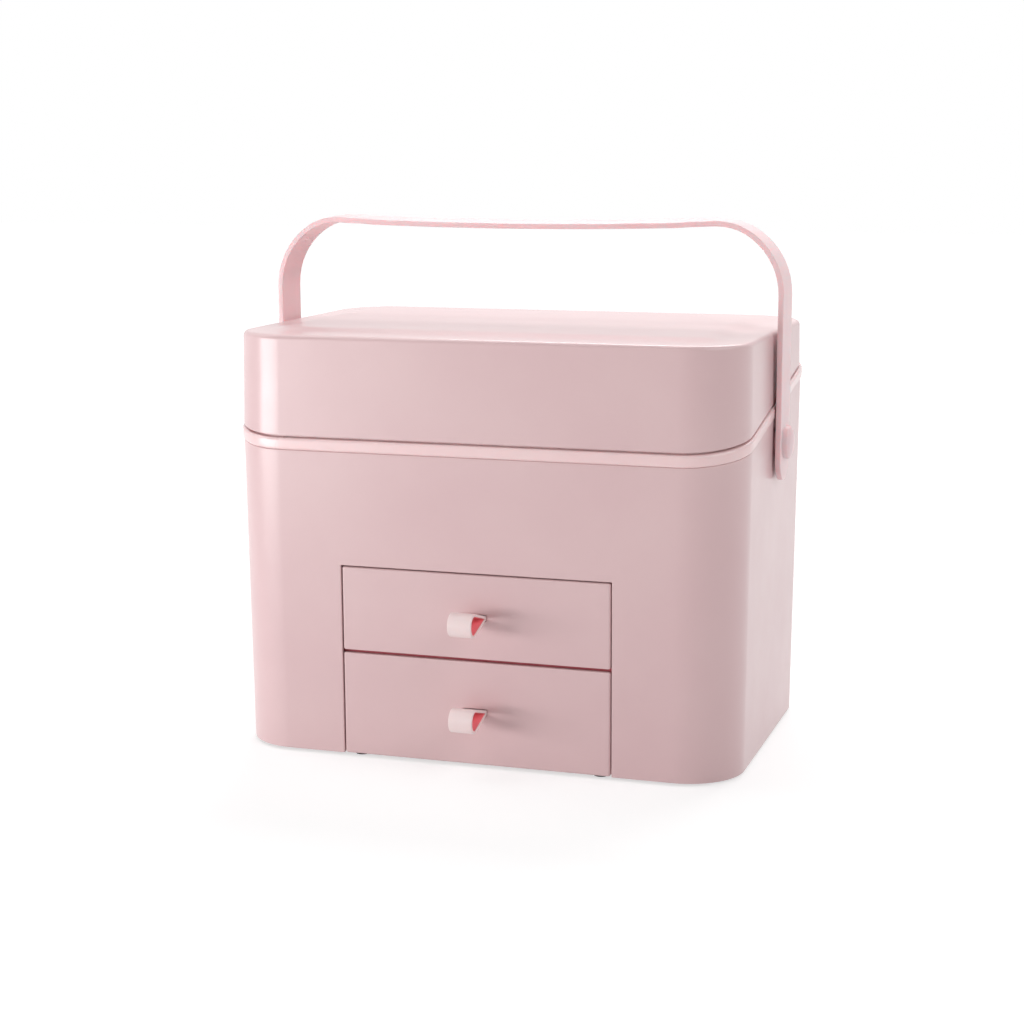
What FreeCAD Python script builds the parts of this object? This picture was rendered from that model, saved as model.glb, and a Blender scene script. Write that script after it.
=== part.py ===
import FreeCAD, Part
import math
import os
import re

import Sketcher
from FreeCAD import Rotation, Vector

# Makeup storage case: a moulded box with two drawers, a flip lid on a slanted seam and a strap handle.
# Millimetres, +Z up, the front faces -Y. Every sub-part is drawn in the case's own frame, whose origin
# is on the case's bottom edge at its middle, and is then placed so that the feet stand on Z = 0.

SIZES = {
    # the case outside
    "case_width": 280.0,
    "case_depth": 192.0,
    "corner_radius": 32.0,
    "body_draft": 1.8,
    "seam_front": 171.3,
    "seam_slope": 0.173,
    "wall_thick": 2.5,
    # the lid
    "lid_top": 225.3,
    "lid_draft": 0.75,
    "lid_wall": 2.5,
    "lid_edge_round": 2.6,
    "lid_gap": 1.2,
    "plateau_inset": 17.0,
    "plateau_slope": 6.0,
    "plateau_rise": 2.2,
    # the trim band under the seam and its locating lip
    "band_height": 6.4,
    "band_proud": 0.7,
    "lip_thick": 1.5,
    "lip_gap": 0.5,
    "lip_rise": 3.5,
    "lip_back": 40.0,
    # the rear hinge
    "hinge_spread": 75.0,
    "hinge_offset": 4.4,
    "knuckle_radius": 3.0,
    "lid_knuckle": 16.0,
    "band_knuckle": 10.0,
    "knuckle_gap": 0.4,
    "knuckle_web": 5.0,
    "hinge_pin_radius": 1.5,
    "pin_clearance": 0.05,
    # the base plate, its screws and the feet
    "base_recess": 1.0,
    "base_thick": 2.5,
    "base_gap": 0.2,
    "head_margin": 0.6,
    "boss_radius": 5.0,
    "boss_height": 16.0,
    "screw_radius": 1.4,
    "screw_length": 12.0,
    "screw_head_radius": 2.9,
    "screw_head_height": 1.2,
    "foot_radius": 4.0,
    "foot_thick": 2.5,
    "foot_spread_x": 67.0,
    "foot_inset": 9.5,
    # the drawer bay
    "opening_width": 149.0,
    "opening_top": 103.6,
    "front_gap": 0.6,
    "front_lift": 0.2,
    "middle_gap": 1.5,
    "drawers_meet": 56.95,
    "bay_wall": 2.0,
    "bay_rise": 12.0,
    "groove_depth": 1.0,
    "shelf_thick": 2.0,
    "deck_height": 106.2,
    "stop_lip_drop": 2.6,
    "stop_lip_thick": 2.0,
    # the drawers
    "front_thick": 2.5,
    "tray_wall": 1.8,
    "tray_gap_side": 0.8,
    "tray_gap_low": 0.3,
    "tray_gap_back": 0.8,
    "tray_corner": 4.0,
    "drawer_travel": 120.0,
    "stop_gap": 0.4,
    "stop_tab_length": 8.0,
    "stop_tab_clear": 0.8,
    # the pull loops
    "pull_width": 13.0,
    "pull_radius": 6.3,
    "pull_out": 24.0,
    "pull_strip": 1.5,
    "upper_pull": 80.0,
    "lower_pull": 29.0,
    "clip_width": 20.0,
    "clip_height": 11.0,
    "clip_thick": 2.2,
    # the handle and its pivots
    "handle_thick": 3.0,
    "handle_wide": 25.0,
    "leg_gap": 1.5,
    "handle_bend": 38.5,
    "handle_top": 281.0,
    "handle_dip": 2.0,
    "pivot_height": 165.6,
    "strap_end": 20.5,
    "pivot_radius": 4.0,
    "bush_flange": 8.0,
    "bush_wall": 2.0,
    "bush_inside": 3.0,
    "button_radius": 9.0,
    "button_thick": 2.2,
    "button_dome": 2.2,
    "pivot_gap": 0.2,
    "retainer_radius": 8.0,
    "retainer_thick": 1.6,
}

SIDES = {"left": -1, "right": 1}

doc = FreeCAD.newDocument("makeup_storage_case")
sheet = doc.addObject("Spreadsheet::Sheet", "sizes")
for row, (word, number) in enumerate(SIZES.items(), start=1):
    sheet.set(f"A{row}", word)
    sheet.set(f"B{row}", str(number))
    sheet.setAlias(f"B{row}", word)
doc.recompute()

parts = []


# ---- expressions shared by several sub-parts, in the words of the sheet

FOOT_HEIGHT = "(foot_thick - base_recess)"
HINGE_REACH = "(hinge_offset + knuckle_radius)"
# the pull is the foremost point and the hinge barrels are the rearmost: the frame's origin is midway
SHIFT_Y = f"((pull_out - body_draft * (1 - upper_pull / seam_front) - {HINGE_REACH}) / 2)"
REAR_SEAM = "(seam_front + seam_slope * case_depth)"
BASE_TOP = "(base_recess + base_thick)"
DECK_TOP = "(deck_height + shelf_thick)"
SHELF_LOW = "(drawers_meet - shelf_thick / 2)"
INNER_BACK = "(case_depth / 2 - body_draft - wall_thick)"
LEG_INNER = "(case_width / 2 + leg_gap)"
LEG_OUTER = f"({LEG_INNER} + handle_thick)"
SIDE_AT_PIVOT = "(case_width / 2 - body_draft * (1 - (pivot_height + bush_flange) / seam_front))"
FRONT_INSIDE = "(0 - case_depth / 2 + wall_thick + body_draft + base_gap)"
TRAY_FRONT = "(0 - case_depth / 2 + body_draft + front_thick)"
LIP_OUTSIDE = "(0 - lid_wall - lip_gap)"
LIP_INSIDE = "(0 - lid_wall - lip_gap - lip_thick)"


def body_inset(height):
    """How far the case's outside lies inside its widest outline at a height."""
    return f"(body_draft * (1 - ({height}) / seam_front))"


def lid_inset(height):
    """The same for the lid, which narrows upwards from the seam."""
    return f"(lid_draft * (({height}) - seam_front) / (lid_top - seam_front))"


def seam(depth):
    """Height of the slanted seam at a depth measured from the middle."""
    return f"(seam_front + seam_slope * (({depth}) + case_depth / 2))"


# ---- drawing tools

def bind(thing, prop, text):
    """Binds a property to the sheet: each word of the sheet in the text becomes a reference to its
    cell."""
    found = re.sub(r"[a-z]+(?:_[a-z]+)+", lambda m: "sizes." + m[0] if m[0] in SIZES else m[0], text)
    thing.setExpression(prop, found)


def new_body(name, placed=True):
    """A sub-part drawn with PartDesign. It stands at its place in the object unless it is only an
    ingredient."""
    body = doc.addObject("PartDesign::Body", name)
    if placed:
        finish(body, name)
    return body


def finish(thing, name):
    """Labels a whole sub-part and moves it from the case's own frame to its place in the object."""
    thing.Label = name
    bind(thing, "Placement.Base.y", SHIFT_Y)
    bind(thing, "Placement.Base.z", FOOT_HEIGHT)
    parts.append(thing)
    return thing


def new_sketch(body, name, plane, x="0", y="0", z="0"):
    """A sketch on one of the body's own origin planes, moved by x and y in it and by z along its
    normal."""
    sketch = body.newObject("Sketcher::SketchObject", name)
    support = [f for f in body.Origin.OriginFeatures if f.Role == plane][0]
    sketch.AttachmentSupport = [(support, "")]
    sketch.MapMode = "FlatFace"
    for axis, text in (("x", x), ("y", y), ("z", z)):
        if text != "0":
            bind(sketch, f"AttachmentOffset.Base.{axis}", text)
    return sketch


def name_last(sketch, constraint, text):
    """Adds a constraint and binds its size."""
    index = sketch.addConstraint(constraint)
    sketch.renameConstraint(index, f"size_{index}")
    bind(sketch, f"Constraints.size_{index}", text)


def rounded_rectangle(sketch, width, depth, radius):
    """A rectangle centred on the sketch's origin, with its corners rounded."""
    half = 60.0
    turn = 10.0
    flat = half - turn
    ends = [
        (Vector(-flat, -half, 0), Vector(flat, -half, 0)),
        (Vector(half, -flat, 0), Vector(half, flat, 0)),
        (Vector(flat, half, 0), Vector(-flat, half, 0)),
        (Vector(-half, flat, 0), Vector(-half, -flat, 0)),
    ]
    lines = [sketch.addGeometry(Part.LineSegment(a, b), False) for a, b in ends]
    arcs = []
    centres = [(flat, -flat), (flat, flat), (-flat, flat), (-flat, -flat)]
    for quarter, (u, v) in enumerate(centres):
        circle = Part.Circle(Vector(u, v, 0), Vector(0, 0, 1), turn)
        start = math.radians(90 * quarter - 90)
        arcs.append(sketch.addGeometry(Part.ArcOfCircle(circle, start, start + math.pi / 2), False))
    for i in range(4):
        sketch.addConstraint(Sketcher.Constraint("Tangent", lines[i], 2, arcs[i], 1))
        sketch.addConstraint(Sketcher.Constraint("Tangent", arcs[i], 2, lines[(i + 1) % 4], 1))
        kind = "Horizontal" if i % 2 == 0 else "Vertical"
        sketch.addConstraint(Sketcher.Constraint(kind, lines[i]))
    for arc in arcs[1:]:
        sketch.addConstraint(Sketcher.Constraint("Equal", arcs[0], arc))
    sketch.addConstraint(Sketcher.Constraint("Symmetric", lines[0], 1, lines[2], 1, -1, 1))
    name_last(sketch, Sketcher.Constraint("Radius", arcs[0], turn), radius)
    name_last(sketch, Sketcher.Constraint("DistanceX", lines[3], 1, lines[1], 1, 2 * half), width)
    name_last(sketch, Sketcher.Constraint("DistanceY", lines[0], 1, lines[2], 1, 2 * half), depth)


def polygon(sketch, corners):
    """A closed outline of straight lines through corners, each given as the words for its two places."""
    count = len(corners)
    ring = [2 * math.pi * i / count for i in range(count)]
    spots = [Vector(50 * math.cos(a), 50 * math.sin(a), 0) for a in ring]
    for i in range(count):
        sketch.addGeometry(Part.LineSegment(spots[i], spots[(i + 1) % count]), False)
    for i in range(count):
        sketch.addConstraint(Sketcher.Constraint("Coincident", i, 2, (i + 1) % count, 1))
    for i, (u, v) in enumerate(corners):
        name_last(sketch, Sketcher.Constraint("DistanceX", i, 1, spots[i].x), u)
        name_last(sketch, Sketcher.Constraint("DistanceY", i, 1, spots[i].y), v)


def rectangle(sketch, low_u, low_v, high_u, high_v):
    polygon(sketch, [(low_u, low_v), (high_u, low_v), (high_u, high_v), (low_u, high_v)])


def circle(sketch, radius, u="0", v="0"):
    """A circle in a sketch, at the sketch's origin unless told otherwise."""
    index = sketch.addGeometry(Part.Circle(Vector(1, 1, 0), Vector(0, 0, 1), 5), False)
    name_last(sketch, Sketcher.Constraint("Radius", index, 5), radius)
    name_last(sketch, Sketcher.Constraint("DistanceX", index, 3, 1), u)
    name_last(sketch, Sketcher.Constraint("DistanceY", index, 3, 1), v)


def pad(body, sketch, length, both_ways=False, backwards=False):
    feature = body.newObject("PartDesign::Pad", sketch.Name + "_pad")
    feature.Profile = sketch
    feature.Midplane = both_ways
    feature.Reversed = backwards
    bind(feature, "Length", length)
    sketch.Visibility = False
    return feature


def pocket(body, sketch, length=None, both_ways=False, backwards=False):
    """Cuts a sketch's outline out of the body, all the way through when no length is given."""
    feature = body.newObject("PartDesign::Pocket", sketch.Name + "_pocket")
    feature.Profile = sketch
    feature.Midplane = both_ways
    feature.Reversed = backwards
    if length is None:
        feature.Type = "ThroughAll"
    else:
        bind(feature, "Length", length)
    return feature


def loft(body, kind, name, low, high):
    feature = body.newObject(f"PartDesign::{kind}", name)
    feature.Profile = low
    feature.Sections = [high]
    feature.Ruled = True
    return feature


def case_ring(body, name, height, inset, grow):
    """The case's outline at a height, drawn in by inset and grown by grow."""
    sketch = new_sketch(body, name, "XY_Plane", z=height)
    change = f"(({grow}) - {inset})"
    rounded_rectangle(
        sketch, f"case_width + 2 * {change}", f"case_depth + 2 * {change}", f"corner_radius + {change}"
    )
    return sketch


def case_form(body, kind, name, low, high, inset, grow):
    """A solid or a cut with the case's outline between two heights."""
    bottom = case_ring(body, name + "_low", low, inset(low), grow)
    top = case_ring(body, name + "_high", high, inset(high), grow)
    return loft(body, kind, name, bottom, top)


def cut_along_seam(body, name, offset, side):
    """Takes away all that lies above or below the slanted seam moved up by offset."""
    reach = "case_depth"
    far = "(3 * lid_top)" if side == "above" else "(0 - lid_top)"
    sketch = new_sketch(body, name, "YZ_Plane")
    polygon(sketch, [
        (f"0 - {reach}", f"{seam('0 - ' + reach)} + {offset}"),
        (reach, f"{seam(reach)} + {offset}"),
        (reach, far),
        (f"0 - {reach}", far),
    ])
    return pocket(body, sketch, both_ways=True)


# ---- the case: an open moulded tube with the drawer opening in its front

def make_body_shell():
    body = new_body("body_shell")
    top = f"({REAR_SEAM} + wall_thick)"
    case_form(body, "AdditiveLoft", "outside", "0", top, body_inset, "0")
    case_form(body, "SubtractiveLoft", "inside", "0", top, body_inset, "0 - wall_thick")
    cut_along_seam(body, "top_edge", f"(0 - lid_gap / 2 - band_height)", "above")
    opening = new_sketch(body, "drawer_opening", "XZ_Plane", z="case_depth / 4")
    rectangle(opening, "0 - opening_width / 2", "0 - wall_thick", "opening_width / 2", "opening_top")
    pocket(body, opening, backwards=True)
    # a screw boss in each corner, grown into the wall, with a pilot hole from below
    bosses = new_sketch(body, "bosses", "XY_Plane", z=BASE_TOP)
    pilots = new_sketch(body, "pilots", "XY_Plane", z=BASE_TOP)
    for place in screw_places():
        circle(bosses, "boss_radius", *place)
        circle(pilots, "screw_radius", *place)
    pad(body, bosses, "boss_height")
    pocket(body, pilots, "screw_length", backwards=True)
    # a round hole in each side for the handle's pivot bush
    pivots = new_sketch(body, "pivot_holes", "YZ_Plane")
    circle(pivots, "pivot_radius + pin_clearance + bush_wall", "0", "pivot_height")
    pocket(body, pivots, both_ways=True)


# ---- the trim band that caps the case's edge, with a lip that the lid closes over

def make_rim_band():
    low = "(seam_front - 3 * band_height)"
    high = f"({REAR_SEAM} + 3 * band_height)"
    band = new_body("band_ring", placed=False)
    case_form(band, "AdditiveLoft", "outside", low, high, body_inset, "band_proud")
    case_form(band, "SubtractiveLoft", "inside", low, high, lid_inset, LIP_INSIDE)
    cut_along_seam(band, "band_top", "(0 - lid_gap / 2)", "above")
    cut_along_seam(band, "band_bottom", "(0 - lid_gap / 2 - band_height)", "below")
    barrels(band, "band", ("outer_low", "outer_high"), f"({REAR_SEAM} - knuckle_web)")
    # the lip is open at the back, where the lid's rear wall swings
    lip = new_body("lip_ring", placed=False)
    case_form(lip, "AdditiveLoft", "outside", low, high, lid_inset, LIP_OUTSIDE)
    case_form(lip, "SubtractiveLoft", "inside", low, high, lid_inset, LIP_INSIDE)
    cut_along_seam(lip, "lip_top", "lip_rise", "above")
    cut_along_seam(lip, "lip_bottom", "(0 - lid_gap / 2 - band_height)", "below")
    back = new_sketch(lip, "open_back", "XY_Plane")
    rectangle(back, "0 - case_width", "lip_back", "case_width", "case_depth")
    pocket(lip, back, backwards=True)
    whole = doc.addObject("Part::Fuse", "rim_band")
    whole.Base = band
    whole.Tool = lip
    finish(whole, "rim_band")


def barrels(body, owner, places, web_far):
    """Hinge barrels on the rear wall: each is a round knuckle with a web back to the wall."""
    middle = "(case_depth / 2 + hinge_offset)"
    outer = "(lid_knuckle / 2 + knuckle_gap)"
    starts = {
        "middle": ("hinge_spread - lid_knuckle / 2", "lid_knuckle"),
        "outer_low": (f"hinge_spread - {outer} - band_knuckle", "band_knuckle"),
        "outer_high": (f"hinge_spread + {outer}", "band_knuckle"),
    }
    for side, sign in SIDES.items():
        for place in places:
            start, length = starts[place]
            tag = f"{side}_{place}"
            web = new_sketch(body, f"web_{tag}", "YZ_Plane", z=f"{sign} * ({start})")
            rectangle(web, "case_depth / 2 - lid_wall / 2", REAR_SEAM, middle, web_far)
            pad(body, web, length, backwards=sign < 0)
            round_end = new_sketch(body, f"barrel_{tag}", "YZ_Plane", z=f"{sign} * ({start})")
            circle(round_end, "knuckle_radius", middle, REAR_SEAM)
            pad(body, round_end, length, backwards=sign < 0)
    bore = new_sketch(body, "hinge_bore", "YZ_Plane")
    gap = " + pin_clearance" if owner == "lid" else ""
    circle(bore, "hinge_pin_radius" + gap, middle, REAR_SEAM)
    pocket(body, bore, both_ways=True)


def make_hinge_pin(side, sign):
    body = new_body(f"hinge_pin_{side}")
    half = "(lid_knuckle / 2 + knuckle_gap + band_knuckle)"
    sketch = new_sketch(body, "rod", "YZ_Plane", z=f"{sign} * hinge_spread")
    circle(sketch, "hinge_pin_radius", "case_depth / 2 + hinge_offset", REAR_SEAM)
    pad(body, sketch, f"2 * {half}", both_ways=True)


# ---- the base plate with its screws and feet

def make_base_plate():
    body = new_body("base_plate")
    case_form(body, "AdditiveLoft", "plate", "base_recess", BASE_TOP, body_inset,
              "0 - wall_thick - base_gap")
    holes = new_sketch(body, "screw_holes", "XY_Plane")
    sinks = new_sketch(body, "head_sinks", "XY_Plane")
    for place in screw_places():
        circle(holes, "screw_radius + pin_clearance", *place)
        circle(sinks, "screw_head_radius + pin_clearance", *place)
    pocket(body, holes, backwards=True)
    pocket(body, sinks, "base_recess + screw_head_height", backwards=True)


def screw_places():
    """The screws' four places, one in each corner, where a head clears the edge of the base plate."""
    reach = "(corner_radius - body_draft - wall_thick - base_gap - screw_head_radius - head_margin) / sqrt(2)"
    u = f"(case_width / 2 - corner_radius + {reach})"
    v = f"(case_depth / 2 - corner_radius + {reach})"
    return [(f"{a} * {u}", f"{b} * {v}") for a in (-1, 1) for b in (-1, 1)]


def make_base_screws():
    """Four flat-headed screws: a shank and a head on one axis each."""
    pieces = []
    for number, (u, v) in enumerate(screw_places(), start=1):
        shank = doc.addObject("Part::Cylinder", f"screw_shank_{number}")
        bind(shank, "Radius", "screw_radius")
        bind(shank, "Height", "screw_length + base_thick - screw_head_height")
        head = doc.addObject("Part::Cylinder", f"screw_head_{number}")
        bind(head, "Radius", "screw_head_radius")
        bind(head, "Height", "screw_head_height")
        for piece, height in ((shank, "base_recess + screw_head_height"), (head, "base_recess")):
            bind(piece, "Placement.Base.x", u)
            bind(piece, "Placement.Base.y", v)
            bind(piece, "Placement.Base.z", height)
        screw = doc.addObject("Part::Fuse", f"screw_{number}")
        screw.Base = shank
        screw.Tool = head
        pieces.append(screw)
    group = doc.addObject("Part::Compound", "base_screws")
    group.Links = pieces
    finish(group, "base_screws")


def make_feet():
    """Four small rubber discs stuck under the base plate."""
    pieces = []
    for a in (-1, 1):
        for b in (-1, 1):
            foot = doc.addObject("Part::Cylinder", "foot")
            bind(foot, "Radius", "foot_radius")
            bind(foot, "Height", "foot_thick")
            bind(foot, "Placement.Base.x", f"{a} * foot_spread_x")
            bind(foot, "Placement.Base.y", f"{b} * (case_depth / 2 - foot_inset)")
            bind(foot, "Placement.Base.z", "base_recess - foot_thick")
            pieces.append(foot)
    group = doc.addObject("Part::Compound", "rubber_feet")
    group.Links = pieces
    finish(group, "rubber_feet")


# ---- the drawer bay: two side walls, a shelf between the drawers and a deck above them

def plate(name, low, high):
    """A rectangular plate between two opposite corners."""
    box = doc.addObject("Part::Box", name)
    for prop, place, a, b in zip(("Length", "Width", "Height"), "xyz", low, high):
        bind(box, prop, f"({b}) - ({a})")
        bind(box, f"Placement.Base.{place}", a)
    return box


def make_bay_wall(side, sign):
    """A side wall of the bay, with grooves that hold the shelf and the deck."""
    inner, outer = "(opening_width / 2)", "(opening_width / 2 + bay_wall)"
    ends = (inner, outer) if sign > 0 else (f"0 - {outer}", f"0 - {inner}")
    back = f"({INNER_BACK} - base_gap)"
    panel = plate(f"bay_panel_{side}", (ends[0], FRONT_INSIDE, BASE_TOP),
                  (ends[1], back, f"{DECK_TOP} + bay_rise"))
    grooves = []
    for floor, low in (("shelf", SHELF_LOW), ("deck", "deck_height")):
        groove_ends = (inner, f"{inner} + groove_depth") if sign > 0 else (
            f"0 - {inner} - groove_depth", f"0 - {inner}")
        grooves.append(plate(f"{floor}_groove_{side}", (groove_ends[0], FRONT_INSIDE, low),
                             (groove_ends[1], back, f"{low} + shelf_thick")))
    both = doc.addObject("Part::Fuse", f"grooves_{side}")
    both.Base, both.Tool = grooves
    cut = doc.addObject("Part::Cut", f"bay_wall_{side}")
    cut.Base = panel
    cut.Tool = both
    finish(cut, f"bay_wall_{side}")


def make_floor(name, low):
    """The shelf or the deck: a plate in the walls' grooves, with a stop lip along its front edge."""
    reach = "(opening_width / 2 + groove_depth)"
    back = f"({INNER_BACK} - base_gap)"
    flat = plate(f"{name}_plate", (f"0 - {reach}", FRONT_INSIDE, low), (reach, back, f"{low} + shelf_thick"))
    lip = plate(f"{name}_lip", ("0 - opening_width / 2", FRONT_INSIDE, f"{low} - stop_lip_drop"),
                ("opening_width / 2", f"{FRONT_INSIDE} + stop_lip_thick", low))
    whole = doc.addObject("Part::Fuse", name)
    whole.Base = flat
    whole.Tool = lip
    finish(whole, name)


# ---- the drawers: a tray, a flush front, a pull loop through its slot and a clip behind it

def front_face(height):
    """Depth of the case's leaning front face at a height."""
    return f"(0 - case_depth / 2 + {body_inset(height)})"


DRAWERS = {
    "upper": {
        "low": "(drawers_meet + middle_gap / 2)",
        "high": "(opening_top - front_gap)",
        "floor": f"({SHELF_LOW} + shelf_thick + tray_gap_low)",
        "ceiling": "(deck_height - stop_lip_drop)",
        "roof": "deck_height",
        "pull": "upper_pull",
    },
    "lower": {
        "low": "front_lift",
        "high": "(drawers_meet - middle_gap / 2)",
        "floor": f"({BASE_TOP} + tray_gap_low)",
        "ceiling": f"({SHELF_LOW} - stop_lip_drop)",
        "roof": SHELF_LOW,
        "pull": "lower_pull",
    },
}
SLOT_HALF = "(pull_strip + pin_clearance)"
SLOT_SIDE = "(pull_width / 2 + pin_clearance)"


def make_drawer_front(name, drawer):
    """The front panel: a slice of the case's leaning front wall with a slot for the pull."""
    body = new_body(f"{name}_drawer_front")
    low, high = drawer["low"], drawer["high"]
    side = new_sketch(body, "side_view", "YZ_Plane")
    polygon(side, [
        (front_face(low), low), (TRAY_FRONT, low), (TRAY_FRONT, high), (front_face(high), high),
    ])
    pad(body, side, "opening_width - 2 * front_gap", both_ways=True)
    pocket(body, pull_slot(body, drawer), both_ways=True)


def pull_slot(body, drawer, depth="0"):
    """The outline of the pull's slot, on an upright plane at a depth behind the middle."""
    slot = new_sketch(body, "pull_slot", "XZ_Plane", y=drawer["pull"], z=f"0 - {depth}")
    rectangle(slot, f"0 - {SLOT_SIDE}", f"0 - {SLOT_HALF}", SLOT_SIDE, SLOT_HALF)
    return slot


def make_drawer_tray(name, drawer):
    """The open tray behind the front, with two tabs that meet the stop lip."""
    body = new_body(f"{name}_drawer_tray")
    front = TRAY_FRONT
    back = f"({INNER_BACK} - tray_gap_back)"
    width = "(opening_width - 2 * tray_gap_side)"
    top = f"({drawer['ceiling']} - stop_tab_clear)"
    middle = f"(({front} + {back}) / 2)"
    outside = new_sketch(body, "outside", "XY_Plane", y=middle, z=drawer["floor"])
    rounded_rectangle(outside, width, f"{back} - {front}", "tray_corner")
    pad(body, outside, f"{top} - {drawer['floor']}")
    inside = new_sketch(body, "inside", "XY_Plane", y=middle, z=f"{drawer['floor']} + tray_wall")
    rounded_rectangle(inside, f"{width} - 2 * tray_wall", f"{back} - {front} - 2 * tray_wall",
                      "tray_corner - tray_wall")
    pocket(body, inside, backwards=True)
    pocket(body, pull_slot(body, drawer, front), "tray_wall")
    tab_front = f"({FRONT_INSIDE} + stop_lip_thick + drawer_travel + stop_gap)"
    for side, sign in SIDES.items():
        tab = new_sketch(body, f"stop_tab_{side}", "YZ_Plane", z=f"{sign} * {width} / 2")
        rectangle(tab, tab_front, f"{top} - tray_wall", f"{tab_front} + stop_tab_length",
                  f"{drawer['roof']} - stop_tab_clear")
        pad(body, tab, "tray_wall", backwards=sign > 0)


def teardrop(sketch, radius, point, round_at):
    """A round end with two straight sides that meet at a point: drawn to the left of the point."""
    turn = 1.2
    ring = Part.Circle(Vector(-20, 0, 0), Vector(0, 0, 1), 6)
    arc = sketch.addGeometry(Part.ArcOfCircle(ring, turn, 2 * math.pi - turn), False)
    tip = Vector(0, 0, 0)
    above = Vector(-20 + 6 * math.cos(turn), 6 * math.sin(turn), 0)
    below = Vector(above.x, -above.y, 0)
    upper = sketch.addGeometry(Part.LineSegment(tip, above), False)
    lower = sketch.addGeometry(Part.LineSegment(below, tip), False)
    sketch.addConstraint(Sketcher.Constraint("Tangent", upper, 2, arc, 1))
    sketch.addConstraint(Sketcher.Constraint("Tangent", arc, 2, lower, 1))
    sketch.addConstraint(Sketcher.Constraint("Coincident", lower, 2, upper, 1))
    name_last(sketch, Sketcher.Constraint("DistanceX", upper, 1, 0), point)
    name_last(sketch, Sketcher.Constraint("DistanceY", upper, 1, 0), "0")
    name_last(sketch, Sketcher.Constraint("Radius", arc, 6), radius)
    name_last(sketch, Sketcher.Constraint("DistanceX", arc, 3, -20), round_at)
    name_last(sketch, Sketcher.Constraint("DistanceY", arc, 3, 0), "0")


def make_pull_loop(name, drawer):
    """A strip folded into a loop: both its ends pass through the slot and stay flat behind it."""
    body = new_body(f"{name}_pull_loop")
    front = front_face(drawer["pull"])
    round_at = f"({front} - pull_out + pull_radius)"
    outside = new_sketch(body, "outside", "YZ_Plane", y=drawer["pull"])
    teardrop(outside, "pull_radius", f"{front} + pull_strip", round_at)
    pad(body, outside, "pull_width", both_ways=True)
    inside = new_sketch(body, "inside", "YZ_Plane", y=drawer["pull"])
    teardrop(inside, "pull_radius - pull_strip", f"{front} - 2 * pull_strip", round_at)
    pocket(body, inside, both_ways=True)
    # the two ends lie together in the slot and reach into the clip
    tail = new_sketch(body, "tail", "YZ_Plane", y=drawer["pull"])
    rectangle(tail, f"{front} - pull_strip", "0 - pull_strip",
              f"{TRAY_FRONT} + tray_wall + clip_thick", "pull_strip")
    pad(body, tail, "pull_width", both_ways=True)


def make_pull_clip(name, drawer):
    """The clip that pinches the pull's two ends inside the tray."""
    front = f"({TRAY_FRONT} + tray_wall)"
    back = f"({front} + clip_thick)"
    low, high = f"{drawer['pull']} - clip_height / 2", f"{drawer['pull']} + clip_height / 2"
    block = plate(f"{name}_clip_block", ("0 - clip_width / 2", front, low), ("clip_width / 2", back, high))
    slot = plate(f"{name}_clip_slot", (f"0 - {SLOT_SIDE}", front, f"{drawer['pull']} - {SLOT_HALF}"),
                 (SLOT_SIDE, back, f"{drawer['pull']} + {SLOT_HALF}"))
    clip = doc.addObject("Part::Cut", f"{name}_pull_clip")
    clip.Base = block
    clip.Tool = slot
    finish(clip, f"{name}_pull_clip")


# ---- the lid

def make_lid_shell():
    body = new_body("lid_shell")
    low = "(seam_front - lid_wall)"
    case_form(body, "AdditiveLoft", "outside", low, "lid_top", lid_inset, "0")
    case_form(body, "SubtractiveLoft", "inside", low, "(lid_top - lid_wall)", lid_inset, "0 - lid_wall")
    doc.recompute()
    block = body.Tip
    edges = [
        f"Edge{number}" for number, edge in enumerate(block.Shape.Edges, start=1)
        if edge.BoundBox.ZMin > SIZES["lid_top"] - 0.01
    ]
    edge_round = body.newObject("PartDesign::Fillet", "edge_round")
    edge_round.Base = (block, edges)
    bind(edge_round, "Radius", "lid_edge_round")
    plateau_low = case_ring(body, "plateau_low", "lid_top", lid_inset("lid_top"), "0 - plateau_inset")
    plateau_high = case_ring(body, "plateau_high", "lid_top + plateau_rise", lid_inset("lid_top"),
                             "0 - plateau_inset - plateau_slope")
    loft(body, "AdditiveLoft", "plateau", plateau_low, plateau_high)
    cut_along_seam(body, "lid_edge", "(lid_gap / 2)", "below")
    barrels(body, "lid", ("middle",), f"({REAR_SEAM} + knuckle_web)")


# ---- the handle

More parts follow.
